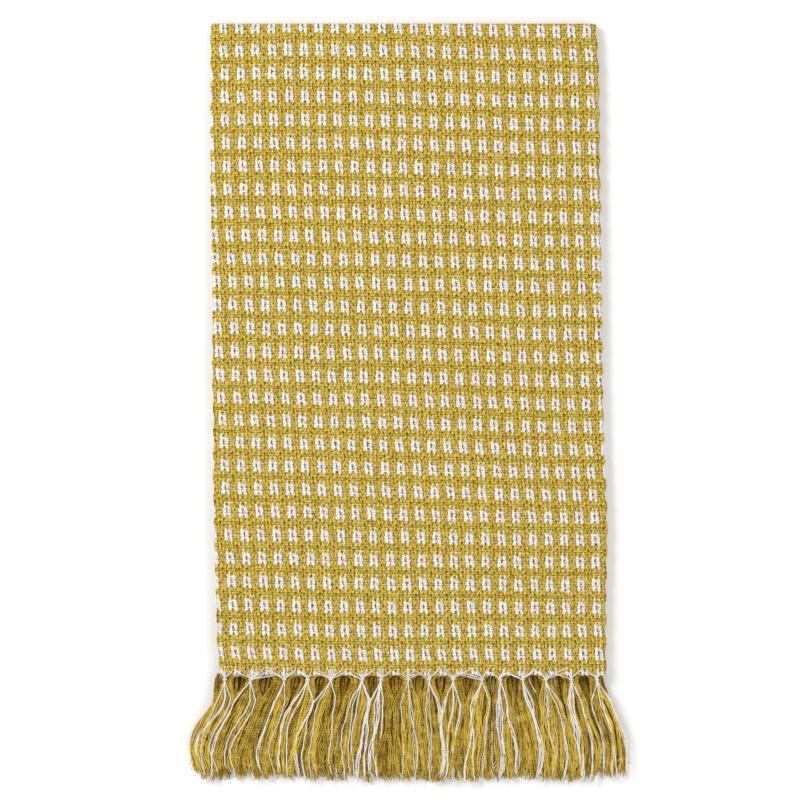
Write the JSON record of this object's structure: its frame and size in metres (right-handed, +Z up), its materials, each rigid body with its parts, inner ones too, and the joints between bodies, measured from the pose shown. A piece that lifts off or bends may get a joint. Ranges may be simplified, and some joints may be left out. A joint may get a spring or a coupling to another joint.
{
  "type": "folded throw blanket",
  "caption": "Woven checked throw blanket with knotted tassel fringe, side flaps folded in and then folded in half, lying flat.",
  "frame": {"origin": "middle of the underside of the whole folded throw, fringe included", "axes": "+X across the throw, +Y from the fringe to the half fold, +Z up"},
  "size_m": [0.505, 0.888, 0.0177],
  "materials": {
    "woven_cloth": "matte woven mustard cloth with small white checks",
    "fringe_yarn": "soft loose mustard and white yarn"
  },
  "bodies": {
    "lower_half": {"back_left_flap": "woven_cloth", "back_left_flap_fringe": "fringe_yarn", "back_left_fold": "woven_cloth", "back_panel": "woven_cloth", "back_right_flap": "woven_cloth", "back_right_flap_fringe": "fringe_yarn", "back_right_fold": "woven_cloth", "back_tassel_1": "fringe_yarn", "back_tassel_2": "fringe_yarn", "back_tassel_3": "fringe_yarn", "back_tassel_4": "fringe_yarn", "back_tassel_5": "fringe_yarn", "back_tassel_6": "fringe_yarn", "back_tassel_7": "fringe_yarn", "back_tassel_8": "fringe_yarn", "back_tassel_9": "fringe_yarn", "back_tassel_10": "fringe_yarn", "back_tassel_11": "fringe_yarn", "back_tassel_12": "fringe_yarn", "back_tassel_13": "fringe_yarn", "back_tassel_14": "fringe_yarn", "back_tassel_15": "fringe_yarn", "back_tassel_16": "fringe_yarn", "half_fold_left_flap": "woven_cloth", "half_fold_panel": "woven_cloth", "half_fold_right_flap": "woven_cloth"},
    "upper_half": {"front_left_flap": "woven_cloth", "front_left_flap_fringe": "fringe_yarn", "front_left_fold": "woven_cloth", "front_panel": "woven_cloth", "front_right_flap": "woven_cloth", "front_right_flap_fringe": "fringe_yarn", "front_right_fold": "woven_cloth", "front_tassel_1": "fringe_yarn", "front_tassel_2": "fringe_yarn", "front_tassel_3": "fringe_yarn", "front_tassel_4": "fringe_yarn", "front_tassel_5": "fringe_yarn", "front_tassel_6": "fringe_yarn", "front_tassel_7": "fringe_yarn", "front_tassel_8": "fringe_yarn", "front_tassel_9": "fringe_yarn", "front_tassel_10": "fringe_yarn", "front_tassel_11": "fringe_yarn", "front_tassel_12": "fringe_yarn", "front_tassel_13": "fringe_yarn", "front_tassel_14": "fringe_yarn", "front_tassel_15": "fringe_yarn", "front_tassel_16": "fringe_yarn"}
  },
  "joints": [
    {"name": "half_fold", "type": "hinge", "parent": "lower_half", "child": "upper_half", "pos_m": [0, 0.4396, 0.00885], "axis": [-1, 0, 0], "range_deg": [0, 180], "deforming": ["half_fold_panel", "half_fold_left_flap", "half_fold_right_flap"]}
  ]
}
